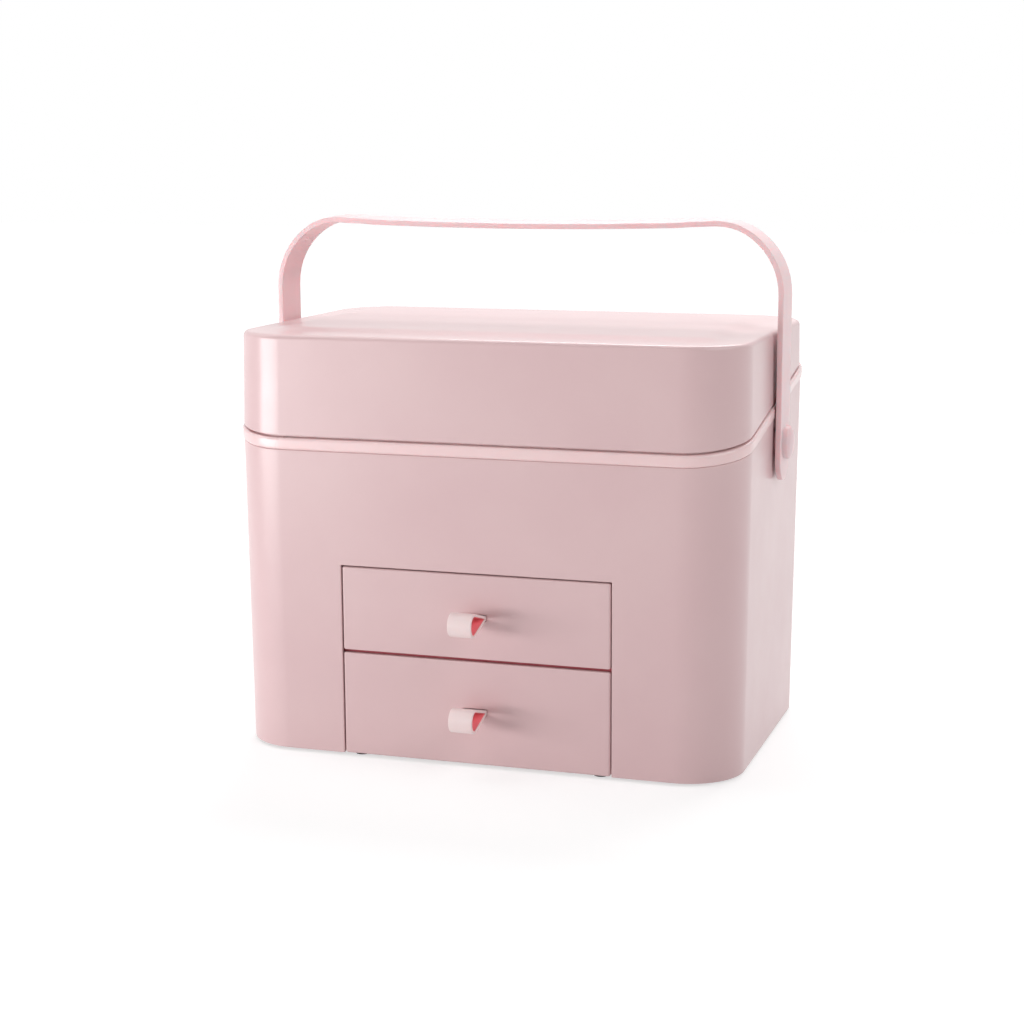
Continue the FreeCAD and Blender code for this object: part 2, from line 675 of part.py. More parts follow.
def make_handle_strap():
    """A flat strap bent into a U, with round ends and a hole for each pivot."""
    body = new_body("handle_strap")
    leg = SIZES["case_width"] / 2 + SIZES["leg_gap"] + SIZES["handle_thick"] / 2
    bend = SIZES["handle_bend"]
    top = SIZES["handle_top"]
    low = SIZES["pivot_height"] - SIZES["strap_end"]
    dip = SIZES["handle_dip"]
    run = leg - bend
    sweep = (run ** 2 + dip ** 2) / (2 * dip)
    lean = math.atan2(run, sweep)
    path = new_sketch(body, "path", "XZ_Plane")
    corner_z = top + dip - bend
    left_leg = path.addGeometry(Part.LineSegment(Vector(-leg, low, 0), Vector(-leg, corner_z, 0)), False)
    left_turn = path.addGeometry(Part.ArcOfCircle(
        Part.Circle(Vector(-run, corner_z, 0), Vector(0, 0, 1), bend), math.pi / 2 - lean, math.pi), False)
    bar = path.addGeometry(Part.ArcOfCircle(
        Part.Circle(Vector(0, top + sweep, 0), Vector(0, 0, 1), sweep),
        -math.pi / 2 - lean, -math.pi / 2 + lean), False)
    right_turn = path.addGeometry(Part.ArcOfCircle(
        Part.Circle(Vector(run, corner_z, 0), Vector(0, 0, 1), bend), 0, math.pi / 2 + lean), False)
    right_leg = path.addGeometry(Part.LineSegment(Vector(leg, corner_z, 0), Vector(leg, low, 0)), False)
    path.addConstraint(Sketcher.Constraint("Tangent", left_leg, 2, left_turn, 2))
    path.addConstraint(Sketcher.Constraint("Tangent", left_turn, 1, bar, 1))
    path.addConstraint(Sketcher.Constraint("Tangent", bar, 2, right_turn, 2))
    path.addConstraint(Sketcher.Constraint("Tangent", right_turn, 1, right_leg, 1))
    path.addConstraint(Sketcher.Constraint("Vertical", left_leg))
    path.addConstraint(Sketcher.Constraint("Vertical", right_leg))
    path.addConstraint(Sketcher.Constraint("Equal", left_turn, right_turn))
    path.addConstraint(Sketcher.Constraint("Symmetric", left_leg, 1, right_leg, 2, -2))
    half = f"({LEG_INNER} + handle_thick / 2)"
    name_last(path, Sketcher.Constraint("DistanceX", right_leg, 2, leg), half)
    name_last(path, Sketcher.Constraint("DistanceY", right_leg, 2, low), "pivot_height - strap_end")
    name_last(path, Sketcher.Constraint("Radius", right_turn, bend), "handle_bend")
    run_words = f"({half} - handle_bend)"
    name_last(path, Sketcher.Constraint("Radius", bar, sweep),
              f"({run_words} ^ 2 + handle_dip ^ 2) / (2 * handle_dip)")
    name_last(path, Sketcher.Constraint("DistanceY", bar, 3, top + sweep),
              f"handle_top + ({run_words} ^ 2 + handle_dip ^ 2) / (2 * handle_dip)")
    section = new_sketch(body, "section", "XY_Plane", z="pivot_height - strap_end")
    rectangle(section, f"{half} - handle_thick / 2", "0 - handle_wide / 2",
              f"{half} + handle_thick / 2", "handle_wide / 2")
    pipe = body.newObject("PartDesign::AdditivePipe", "strap")
    pipe.Profile = section
    pipe.Spine = (path, [])
    pipe.Mode = "Frenet"
    # the ends are trimmed round, about a point just below each pivot
    trim = new_sketch(body, "end_trim", "YZ_Plane")
    half_wide = SIZES["handle_wide"] / 2
    low_v = "pivot_height - strap_end"
    arc_z = low + half_wide
    round_end = trim.addGeometry(Part.ArcOfCircle(
        Part.Circle(Vector(0, arc_z, 0), Vector(0, 0, 1), half_wide), math.pi, 2 * math.pi), False)
    outline = [(-half_wide, arc_z), (-half_wide, low - 5), (half_wide, low - 5), (half_wide, arc_z)]
    lines = [
        trim.addGeometry(Part.LineSegment(Vector(*a, 0), Vector(*b, 0)), False)
        for a, b in zip(outline, outline[1:])
    ]
    trim.addConstraint(Sketcher.Constraint("Coincident", round_end, 1, lines[0], 1))
    trim.addConstraint(Sketcher.Constraint("Coincident", lines[0], 2, lines[1], 1))
    trim.addConstraint(Sketcher.Constraint("Coincident", lines[1], 2, lines[2], 1))
    trim.addConstraint(Sketcher.Constraint("Coincident", lines[2], 2, round_end, 2))
    trim.addConstraint(Sketcher.Constraint("Vertical", lines[0]))
    trim.addConstraint(Sketcher.Constraint("Horizontal", lines[1]))
    trim.addConstraint(Sketcher.Constraint("Vertical", lines[2]))
    trim.addConstraint(Sketcher.Constraint("Symmetric", round_end, 1, round_end, 2, round_end, 3))
    name_last(trim, Sketcher.Constraint("Radius", round_end, half_wide), "handle_wide / 2")
    name_last(trim, Sketcher.Constraint("DistanceX", round_end, 3, 0), "0")
    name_last(trim, Sketcher.Constraint("DistanceY", round_end, 3, arc_z), f"{low_v} + handle_wide / 2")
    name_last(trim, Sketcher.Constraint("DistanceY", lines[1], 1, low - 5), f"{low_v} - handle_thick")
    pocket(body, trim, both_ways=True)
    holes = new_sketch(body, "pivot_holes", "YZ_Plane")
    circle(holes, "pivot_radius", "0", "pivot_height")
    pocket(body, holes, both_ways=True)


def turned(name, side, sign, outline):
    """A round piece on the pivot's axis: an outline of (place along X, radius) points turned about it."""
    body = new_body(f"{name}_{side}")
    sketch = new_sketch(body, "profile", "XY_Plane", z="pivot_height")
    polygon(sketch, [(f"{sign} * ({x})", r) for x, r in outline])
    turn = body.newObject("PartDesign::Revolution", "turned")
    turn.Profile = sketch
    turn.ReferenceAxis = (sketch, ["H_Axis"])
    turn.Angle = 360
    return body


def make_pivot(side, sign):
    """The pivot: a flanged bush in the case's wall, a button with a shaft through it and a retainer."""
    bore = "pivot_radius + pin_clearance"
    bush_end = f"({SIDE_AT_PIVOT} - wall_thick - bush_inside)"
    flange_out = f"({LEG_INNER} - pivot_gap)"
    turned("pivot_bush", side, sign, [
        (bush_end, bore),
        (flange_out, bore),
        (flange_out, "bush_flange"),
        (SIDE_AT_PIVOT, "bush_flange"),
        (SIDE_AT_PIVOT, f"{bore} + bush_wall"),
        (bush_end, f"{bore} + bush_wall"),
    ])
    shaft_end = f"({bush_end} - pivot_gap - retainer_thick)"
    turned("pivot_button", side, sign, [
        (shaft_end, "0"),
        (f"{LEG_OUTER} + button_thick + button_dome", "0"),
        (f"{LEG_OUTER} + button_thick + button_dome", "button_radius / 2"),
        (f"{LEG_OUTER} + button_thick", "button_radius"),
        (LEG_OUTER, "button_radius"),
        (LEG_OUTER, "pivot_radius"),
        (shaft_end, "pivot_radius"),
    ])
    turned("pivot_retainer", side, sign, [
        (shaft_end, "pivot_radius"),
        (f"{shaft_end} + retainer_thick", "pivot_radius"),
        (f"{shaft_end} + retainer_thick", "retainer_radius"),
        (shaft_end, "retainer_radius"),
    ])


make_body_shell()
make_rim_band()
make_base_plate()
make_base_screws()
make_feet()
make_floor("drawer_shelf", SHELF_LOW)
make_floor("bay_deck", "deck_height")
make_lid_shell()
make_handle_strap()
for side, sign in SIDES.items():
    make_hinge_pin(side, sign)
    make_bay_wall(side, sign)
    make_pivot(side, sign)
for name, drawer in DRAWERS.items():
    make_drawer_front(name, drawer)
    make_drawer_tray(name, drawer)
    make_pull_loop(name, drawer)
    make_pull_clip(name, drawer)

doc.recompute()

for thing in doc.Objects:
    if "Invalid" in thing.State or "Error" in thing.State:
        raise RuntimeError(f"{thing.Name} failed: {thing.State}")
for part in parts:
    if part.Shape.isNull() or not part.Shape.isValid():
        raise RuntimeError(f"{part.Label} has no valid shape")

os.makedirs("parts", exist_ok=True)
for part in parts:
    part.Shape.exportStep(f"parts/{part.Label}.step")
    print(part.Label, len(part.Shape.Solids), round(part.Shape.Volume, 1))
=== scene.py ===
import math

import bmesh
import bpy
from mathutils import Euler, Matrix, Vector


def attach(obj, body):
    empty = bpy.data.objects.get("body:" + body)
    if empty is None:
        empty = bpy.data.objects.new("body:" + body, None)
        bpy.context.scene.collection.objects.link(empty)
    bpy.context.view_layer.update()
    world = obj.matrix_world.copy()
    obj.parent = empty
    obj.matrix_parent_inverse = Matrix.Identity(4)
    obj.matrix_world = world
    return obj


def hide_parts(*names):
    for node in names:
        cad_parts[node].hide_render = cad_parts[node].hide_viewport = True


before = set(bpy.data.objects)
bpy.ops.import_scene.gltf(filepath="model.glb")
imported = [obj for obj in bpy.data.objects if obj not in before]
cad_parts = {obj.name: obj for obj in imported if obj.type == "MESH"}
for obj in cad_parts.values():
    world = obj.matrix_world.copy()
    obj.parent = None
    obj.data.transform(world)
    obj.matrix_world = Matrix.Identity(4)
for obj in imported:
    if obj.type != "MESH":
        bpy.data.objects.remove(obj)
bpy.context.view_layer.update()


# ---- The case body
# A tall open tube of ABS, injection moulded in one shot, a little wider at its rim than at its foot
# so that it leaves the mould. Its rim slopes up towards the back, and an opening in the front takes
# the two drawers. The walls are 2.5 mm thick, and every edge the hand can reach is softened.

MM = 0.001
WIDE, DEEP, CORNER = 280 * MM, 192 * MM, 32 * MM
MIDDLE = 7.82 * MM  # the box's middle plane lies this far behind the origin
STANDS = 1.5 * MM  # and its foot this far above the table
WALL = 2.5 * MM
SEAM, SLOPE = 171.3 * MM, 0.173  # where the slanted seam meets the front, and how fast it rises
REAR_SEAM = SEAM + SLOPE * DEEP
RIM = 7 * MM  # the body's rim lies this far under the seam, and the trim band fills the space
DRAFT = 1.8 * MM  # how far each wall leans out between its foot and the seam


def choose_only(piece):
    """Selects one piece and nothing else."""
    bpy.ops.object.select_all(action="DESELECT")
    piece.select_set(True)
    bpy.context.view_layer.objects.active = piece


def edit(piece):
    """Starts to shape a piece in edit mode."""
    choose_only(piece)
    bpy.ops.object.mode_set(mode="EDIT")


def done():
    """Leaves edit mode."""
    bpy.ops.object.mode_set(mode="OBJECT")


def pick(piece, kind, test):
    """In edit mode, selects the corners, edges or faces whose middle and direction pass a test.
    The direction is a corner's or face's normal, or the way an edge runs."""
    bpy.ops.mesh.select_mode(type=kind)
    bpy.ops.mesh.select_all(action="DESELECT")
    shape = bmesh.from_edit_mesh(piece.data)
    if kind == "VERT":
        found = [v for v in shape.verts if test(v.co, v.normal)]
    elif kind == "EDGE":
        ends = [(e, *(v.co for v in e.verts)) for e in shape.edges]
        found = [e for e, a, b in ends if test((a + b) / 2, (b - a).normalized())]
    else:
        found = [f for f in shape.faces if test(f.calc_center_median(), f.normal)]
    for part in found:
        part.select_set(True)
    shape.select_flush_mode()
    bmesh.update_edit_mesh(piece.data)


def block(name, low, high):
    """A box between two corners, given in the case's own frame: a start for a moulding."""
    bpy.ops.object.select_all(action="DESELECT")
    low, high = Vector(low), Vector(high)
    middle = (low + high) / 2 + Vector((0, MIDDLE, STANDS))
    bpy.ops.mesh.primitive_cube_add(size=1, location=middle, scale=high - low)
    piece = bpy.context.object
    piece.name = piece.data.name = name
    bpy.ops.object.transform_apply(location=True, rotation=True, scale=True)
    return piece


def case_outline(name, low, high, grow, narrow_low, narrow_high, turn=14):
    """The case's rounded outline as an upright solid between two heights, grown outwards by grow
    and drawn in at each end."""
    across, along = WIDE / 2 + grow, DEEP / 2 + grow
    piece = block(name, (-across, -along, low), (across, along, high))
    edit(piece)
    pick(piece, "EDGE", lambda at, way: abs(way.z) > 0.9)
    bpy.ops.mesh.bevel(offset=CORNER + grow, segments=turn, affect="EDGES")
    for height, narrow in ((low, narrow_low), (high, narrow_high)):
        pick(piece, "VERT", lambda at, way: abs(at.z - height - STANDS) < 1e-5)
        bpy.ops.transform.resize(
            value=((across - narrow) / across, (along - narrow) / along, 1),
            center_override=(0, MIDDLE, height),
        )
    done()
    return piece


tube_top = REAR_SEAM + WALL
body = case_outline("case_body", 0, tube_top, 0, DRAFT, DRAFT * (1 - tube_top / SEAM))


def take_ends(piece, top=True):
    """Takes off the flat face at a piece's foot, and the one on its top too unless that stays."""
    edit(piece)
    pick(piece, "FACE", lambda at, normal: normal.z < -0.99 or top and normal.z > 0.99)
    bpy.ops.mesh.delete(type="FACE")
    done()


def apply(piece, kind, **settings):
    """Adds a modifier with its settings and applies it."""
    choose_only(piece)
    modifier = piece.modifiers.new(kind.title(), kind)
    for setting, value in settings.items():
        setattr(modifier, setting, value)
    bpy.ops.object.modifier_apply(modifier=modifier.name)


def cut_at_seam(piece, lift, keep):
    """Cuts a piece along the slanted seam moved up by lift, keeps the part above or below it and
    closes the cut."""
    edit(piece)
    bpy.ops.mesh.select_all(action="SELECT")
    bpy.ops.mesh.bisect(
        plane_co=(0, MIDDLE - DEEP / 2, STANDS + SEAM + lift),
        plane_no=(0, -SLOPE, 1),
        use_fill=True,
        clear_outer=keep == "below",
        clear_inner=keep == "above",
    )
    done()


take_ends(body)
apply(body, "SOLIDIFY", thickness=WALL, offset=-1, use_even_offset=True)
cut_at_seam(body, -RIM, "below")


def cut_out(piece, cutter):
    """Takes the cutter's shape out of a piece, and then the cutter away."""
    apply(piece, "BOOLEAN", object=cutter, operation="DIFFERENCE", solver="EXACT")
    bpy.data.objects.remove(cutter)


def rod(name, start, end, radius, sides=48):
    """A round bar from one point to another, given in the case's own frame."""
    bpy.ops.object.select_all(action="DESELECT")
    start, end = Vector(start), Vector(end)
    bpy.ops.mesh.primitive_cylinder_add(
        vertices=sides, radius=radius, depth=(end - start).length,
        location=(start + end) / 2 + Vector((0, MIDDLE, STANDS)),
        rotation=(end - start).to_track_quat("Z", "Y").to_euler(),
    )
    piece = bpy.context.object
    piece.name = piece.data.name = name
    bpy.ops.object.transform_apply(location=True, rotation=True, scale=True)
    return piece


OPENING_SIDE, OPENING_TOP = 74.5 * MM, 103.6 * MM
PIVOT, BUSH_HOLE = 165.6 * MM, 6.05 * MM  # the handle's pivots: their height and the holes' radius
cut_out(body, block(
    "opening", (-OPENING_SIDE, -120 * MM, -9 * MM), (OPENING_SIDE, -85 * MM, OPENING_TOP)
))
for side in (-1, 1):
    cut_out(body, rod(
        "hole", (side * 120 * MM, 0, PIVOT), (side * 150 * MM, 0, PIVOT), BUSH_HOLE
    ))


def smooth(piece, angle=40):
    """Shades a moulding smooth over its rounds while its flats stay flat."""
    choose_only(piece)
    bpy.ops.object.shade_smooth_by_angle(angle=math.radians(angle))
    apply(piece, "WEIGHTED_NORMAL", keep_sharp=True)


def soften(piece, width, steps=3, angle=40):
    """Rounds a moulding's edges and shades it."""
    apply(
        piece, "BEVEL", width=width, segments=steps, limit_method="ANGLE",
        angle_limit=math.radians(angle), use_clamp_overlap=True,
    )
    smooth(piece)


def join(piece, others):
    """Makes the others part of a piece."""
    choose_only(piece)
    for other in others:
        other.select_set(True)
    bpy.ops.object.join()
    return piece


def another(piece, shift):
    """A copy of a piece with a mesh of its own, moved by shift."""
    choose_only(piece)
    bpy.ops.object.duplicate(linked=False)
    bpy.ops.transform.translate(value=shift)
    bpy.ops.object.transform_apply(location=True, rotation=False, scale=False)
    return bpy.context.object


def other_corners(piece, x, y):
    """Three more of a piece that stands at -x, -y, so that each corner of the case has one."""
    return [another(piece, shift) for shift in ((2 * x, 0, 0), (0, 2 * y, 0), (2 * x, 2 * y, 0))]


soften(body, 0.5 * MM)
boss_out = 16.97 * MM  # each boss stands 24 mm out on its corner's diagonal
x, y = WIDE / 2 - CORNER + boss_out, DEEP / 2 - CORNER + boss_out
boss = rod("boss", (-x, -y, 3.5 * MM), (-x, -y, 19.5 * MM), 5 * MM, sides=32)
soften(boss, 0.6 * MM, steps=2)
join(body, [boss] + other_corners(boss, x, y))
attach(body, "case")
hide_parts("body_shell")


# The shell's finish: ABS coloured dusty pink in the pellet and moulded against a fine spark-eroded
# texture. The eye gets an even satin surface whose gloss is broad and soft, with a slight orange
# peel from the flow of the plastic and no pattern of its own.

def colour(code):
    """An sRGB hex colour as the linear one that a shader takes."""
    parts = [int(code[i : i + 2], 16) / 255 for i in (1, 3, 5)]
    return [p / 12.92 if p <= 0.04045 else ((p + 0.055) / 1.055) ** 2.4 for p in parts] + [1]


def add(tree, kind, links=None, **settings):
    """Adds a node with its settings. A name in links is an input: its value is set, or linked when
    it is another node's output."""
    node = tree.nodes.new(kind)
    for setting, value in settings.items():
        setattr(node, setting, value)
    for name, value in (links or {}).items():
        socket = node.inputs[name]
        if isinstance(value, bpy.types.NodeSocket):
            tree.links.new(value, socket)
        else:
            socket.default_value = value
    return node


def plastic(name, light, deep, rough, grain, peel, sheen=0.0, inside=0.0, gleam=0.0):
    """A moulded plastic. Its colour drifts between light and deep over a hand's width, its gloss
    wanders a little, and its skin has the mould's grain, in mm, over a wider orange peel. Inside is
    how much light gets into it, and gleam a thin clearer gloss over the satin one."""
    material = bpy.data.materials.new(name)
    material.use_nodes = True
    tree = material.node_tree
    tree.nodes.clear()
    place = add(tree, "ShaderNodeTexCoord").outputs["Object"]
    drift = add(tree, "ShaderNodeTexNoise", {
        "Vector": place, "Scale": 14.0, "Detail": 3.0, "Roughness": 0.5,
    })
    tone = add(tree, "ShaderNodeMapRange", {
        "Value": drift.outputs["Fac"], "From Min": 0.3, "From Max": 0.7,
        "To Min": 0.0, "To Max": 1.0,
    })
    tint = add(tree, "ShaderNodeMix", {
        "Factor": tone.outputs["Result"], "A": colour(light), "B": colour(deep),
    }, data_type="RGBA")
    wander = add(tree, "ShaderNodeTexNoise", {
        "Vector": place, "Scale": 60.0, "Detail": 4.0, "Roughness": 0.6,
    })
    gloss = add(tree, "ShaderNodeMapRange", {
        "Value": wander.outputs["Fac"], "From Min": 0.3, "From Max": 0.7,
        "To Min": rough - 0.03, "To Max": rough + 0.03,
    })
    # the grain itself is near 0.1 mm; drawn at the size given, which is the finest that shows
    grit = add(tree, "ShaderNodeTexNoise", {
        "Vector": place, "Scale": 1 / (grain * MM), "Detail": 2.0,
    })
    flow = add(tree, "ShaderNodeTexNoise", {
        "Vector": place, "Scale": 1 / (peel * MM), "Detail": 1.0,
    })
    skin = add(tree, "ShaderNodeBump", {
        "Height": grit.outputs["Fac"], "Strength": 0.25, "Distance": 0.03 * MM,
    })
    skin = add(tree, "ShaderNodeBump", {
        "Height": flow.outputs["Fac"], "Strength": 0.3, "Distance": 0.08 * MM,
        "Normal": skin.outputs["Normal"],
    })
    shader = add(tree, "ShaderNodeBsdfPrincipled", {
        "Base Color": tint.outputs[2], "Roughness": gloss.outputs["Result"], "IOR": 1.53,
        "Normal": skin.outputs["Normal"], "Subsurface Weight": inside, "Subsurface Scale": 3 * MM,
        "Subsurface Radius": (1.0, 0.25, 0.22), "Sheen Weight": sheen,
        "Coat Weight": gleam, "Coat Roughness": 0.2, "Coat IOR": 1.5,
    })
    add(tree, "ShaderNodeOutputMaterial", {"Surface": shader.outputs[0]})
    return material


def finish(piece, *materials):
    """Gives a piece, or a node carried over from the frame, its materials."""
    piece.data.materials.clear()
    for material in materials:
        piece.data.materials.append(material)


shell_abs = plastic("shell_abs_satin", "#E0C0C1", "#DCBABC", 0.36, 0.5, 6, gleam=0.35)
finish(body, shell_abs)


# ---- The trim band
# A smooth ring of the same plastic in a warmer, clearer pink, snapped over the rim of the body. Its
# face is rounded like a bead and stands 0.7 mm proud. A thin lip inside it rises into the lid and
# keeps dust out, and four hinge barrels stand on its back.

HINGE_Y, HINGE_SPREAD = DEEP / 2 + 4.4 * MM, 75 * MM
HALF_GAP = 0.6 * MM  # the band and the lid each stay this far from the seam


def barrel(name, start, length, reach):
    """A hinge barrel along X, away from the middle, with the web that carries it from the rear
    wall. The web reaches this far up from the pin, or down."""
    end = start + length * (1 if start > 0 else -1)
    web = block(
        "web", (min(start, end), DEEP / 2 - 1.2 * MM, min(REAR_SEAM, REAR_SEAM + reach)),
        (max(start, end), HINGE_Y, max(REAR_SEAM, REAR_SEAM + reach)),
    )
    far = STANDS + REAR_SEAM + reach
    edit(web)
    pick(web, "VERT", lambda at, way: abs(at.z - far) < 1e-5 and at.y > MIDDLE + HINGE_Y - 1e-4)
    bpy.ops.transform.translate(value=(0, -2.2 * MM, 0))
    done()
    knuckle = rod(name, (start, HINGE_Y, REAR_SEAM), (end, HINGE_Y, REAR_SEAM), 3 * MM, sides=40)
    for part in (web, knuckle):
        soften(part, 0.3 * MM, steps=2)
    return join(knuckle, [web])


low, high = 150 * MM, 226 * MM  # the heights between which the ring and its lip are cut out
band = case_outline(
    "trim_band", low, high, 0.7 * MM, DRAFT * (1 - low / SEAM), DRAFT * (1 - high / SEAM)
)
take_ends(band)
apply(band, "SOLIDIFY", thickness=5.1 * MM, offset=-1, use_even_offset=True)
cut_at_seam(band, -HALF_GAP, "below")
cut_at_seam(band, -RIM, "above")
soften(band, 1.7 * MM, steps=6, angle=60)
lip = case_outline("lip", low, high, -3 * MM, -0.3 * MM, 0.75 * MM)
take_ends(lip)
apply(lip, "SOLIDIFY", thickness=1.5 * MM, offset=-1, use_even_offset=True)
cut_at_seam(lip, 3.5 * MM, "below")
cut_at_seam(lip, -5 * MM, "above")
# the lip ends a little behind the middle, where the opening lid starts to swing past it
lip_end = 40 * MM
edit(lip)
bpy.ops.mesh.select_all(action="SELECT")
bpy.ops.mesh.bisect(
    plane_co=(0, MIDDLE + lip_end, 0), plane_no=(0, 1, 0), use_fill=True, clear_outer=True
)
done()
soften(lip, 0.4 * MM, steps=2)
# the rounding leaves slivers at its two ends
edit(lip)
bpy.ops.mesh.select_all(action="SELECT")
bpy.ops.mesh.dissolve_degenerate(threshold=0.02 * MM)
done()
# each hinge has a barrel of the band at each end of the lid's
barrels = [
    barrel("barrel", side * (HINGE_SPREAD + place), 10 * MM, -5 * MM)
    for side in (-1, 1)
    for place in (-18.4 * MM, 8.4 * MM)
]
join(band, [lip] + barrels)
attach(band, "case")
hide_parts("rim_band")
# Moulded against a polished steel ring, so it is smoother than the shell and keeps a brighter line
# of light along its bead.
band_abs = plastic("band_abs_smooth", "#F6D6D6", "#F2D0D1", 0.3, 0.7, 5, inside=0.15, gleam=0.5)
finish(band, band_abs)


# ---- The lid
# A deep moulded cap with a small round along its top edge. Its top is a flat border round a panel
# that rises 2 mm on a soft slope, which stiffens it. Two hinge barrels stand on its back wall,
# between the band's.

LID_TOP = 225.3 * MM
BORDER, RAMP, RISE = 12.4 * MM, 10 * MM, 2.2 * MM  # the top's flat border, its slope and its rise
lid = case_outline("lid_cap", SEAM - WALL, LID_TOP, 0, -0.04 * MM, 0.75 * MM, turn=18)
take_ends(lid, top=False)


def inward(at):
    """How far a point lies inside the case's upright outline."""
    x, y = abs(at.x) - WIDE / 2 + CORNER, abs(at.y - MIDDLE) - DEEP / 2 + CORNER
    return CORNER - math.hypot(max(x, 0), max(y, 0)) - min(max(x, y), 0)


edit(lid)
pick(lid, "EDGE", lambda at, way: at.z > STANDS + LID_TOP - 1e-5)
bpy.ops.mesh.bevel(offset=2.6 * MM, segments=5, affect="EDGES")
pick(lid, "FACE", lambda at, normal: normal.z > 0.999)
bpy.ops.mesh.inset(thickness=BORDER, depth=0)
bpy.ops.mesh.inset(thickness=RAMP, depth=RISE)
ramp_foot = BORDER + 3.3 * MM
for from_side, lift in ((ramp_foot, 0), (ramp_foot + RAMP, RISE)):
    pick(lid, "EDGE", lambda at, way: abs(inward(at) - from_side) < 2 * MM
         and abs(at.z - STANDS - LID_TOP - lift) < 1e-4)
    bpy.ops.mesh.bevel(offset=3.2 * MM, segments=4, affect="EDGES")
done()
cut_at_seam(lid, HALF_GAP, "above")
edit(lid)
pick(lid, "FACE", lambda at, normal: normal.z < -0.9)
bpy.ops.mesh.delete(type="FACE")
done()
apply(lid, "SOLIDIFY", thickness=WALL, offset=-1, use_even_offset=True)
apply(lid, "BEVEL", width=0.6 * MM, segments=3, limit_method="ANGLE", angle_limit=math.radians(60))
smooth(lid, 35)
join(lid, [barrel("barrel", side * (HINGE_SPREAD - 8 * MM), 16 * MM, 5 * MM) for side in (-1, 1)])
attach(lid, "lid")
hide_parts("lid_shell")
finish(lid, shell_abs)


# ---- The hinge pins
# Two plain steel rods, each pushed through two barrels of the band and one of the lid. The steel is
# drawn wire with fine lines along it, so its shine is soft and a little streaked. The discs that
# hold the handle's buttons and the base plate's screws are of the same steel.

steel = bpy.data.materials.new("hinge_steel_drawn")
steel.use_nodes = True
tree = steel.node_tree
tree.nodes.clear()
along = add(tree, "ShaderNodeMapping", {
    "Vector": add(tree, "ShaderNodeTexCoord").outputs["Object"], "Scale": (1.0, 30.0, 30.0),
})
draw_lines = add(tree, "ShaderNodeTexNoise", {
    "Vector": along.outputs[0], "Scale": 60.0, "Detail": 3.0,
})
steel_gloss = add(tree, "ShaderNodeMapRange", {
    "Value": draw_lines.outputs["Fac"], "From Min": 0.3, "From Max": 0.7,
    "To Min": 0.25, "To Max": 0.4,
})
steel_skin = add(tree, "ShaderNodeBump", {
    "Height": draw_lines.outputs["Fac"], "Strength": 0.2, "Distance": 0.02 * MM,
})
steel_shader = add(tree, "ShaderNodeBsdfPrincipled", {
    "Base Color": colour("#C9C7C6"), "Metallic": 1.0, "Roughness": steel_gloss.outputs["Result"],
    "Normal": steel_skin.outputs["Normal"],
})
add(tree, "ShaderNodeOutputMaterial", {"Surface": steel_shader.outputs[0]})
for node in (
    "hinge_pin_left", "hinge_pin_right", "pivot_retainer_left", "pivot_retainer_right",
    "base_screws",
):
    finish(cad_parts[node], steel)


# ---- The handle
# One strap of the clearer pink plastic, 25 mm wide and 3 mm thick, bent into a U over the lid. Its
# edges are softened, its ends are half rounds, and its bar dips slightly in the middle.

STRAP_WIDE, STRAP_THICK = 25 * MM, 3 * MM
LEG = WIDE / 2 + 1.5 * MM + STRAP_THICK / 2  # how far out each leg's middle stands
BEND, BAR_TOP, DIP = 38.5 * MM, 281 * MM, 2 * MM  # radius, and the bar's height and dip
STRAP_LOW = PIVOT - 20.5 * MM
run = LEG - BEND
sweep = (run**2 + DIP**2) / (2 * DIP)  # the bar's own radius, which its dip gives
bend_z = BAR_TOP + sweep - math.sqrt((sweep + BEND) ** 2 - run**2)
lean = math.asin(run / (sweep + BEND))
end_z = STRAP_LOW + STRAP_WIDE / 2
bpy.ops.object.select_all(action="DESELECT")
bpy.ops.mesh.primitive_circle_add(
    vertices=64, radius=STRAP_WIDE / 2, fill_type="NGON",
    location=(LEG, MIDDLE, STANDS + end_z), rotation=(0, math.pi / 2, 0),
)
strap = bpy.context.object
strap.name = strap.data.name = "handle_bow"
bpy.ops.object.transform_apply(location=True, rotation=True, scale=True)
edit(strap)
bpy.ops.mesh.select_all(action="SELECT")
bpy.ops.mesh.bisect(
    plane_co=(LEG, MIDDLE, STANDS + end_z), plane_no=(0, 0, 1), clear_outer=True
)


def strap_end():
    """Picks the straight edge on top of the half round, from which the strap grows."""
    pick(strap, "EDGE", lambda at, way: abs(way.y) > 0.9 and abs(at.z - STANDS - end_z) < 1e-5)


strap_end()
bpy.ops.mesh.subdivide(number_cuts=7)
strap_end()
bpy.ops.mesh.extrude_region_move(TRANSFORM_OT_translate={"value": (0, 0, bend_z - end_z)})
bpy.ops.mesh.spin(
    steps=14, angle=math.pi / 2 + lean, center=(run, MIDDLE, STANDS + bend_z), axis=(0, 1, 0)
)
bpy.ops.mesh.spin(
    steps=12, angle=-lean, center=(0, MIDDLE, STANDS + BAR_TOP + sweep), axis=(0, 1, 0)
)
done()
apply(strap, "MIRROR", use_axis=(True, False, False), use_mirror_merge=True, merge_threshold=0.0001)
edit(strap)
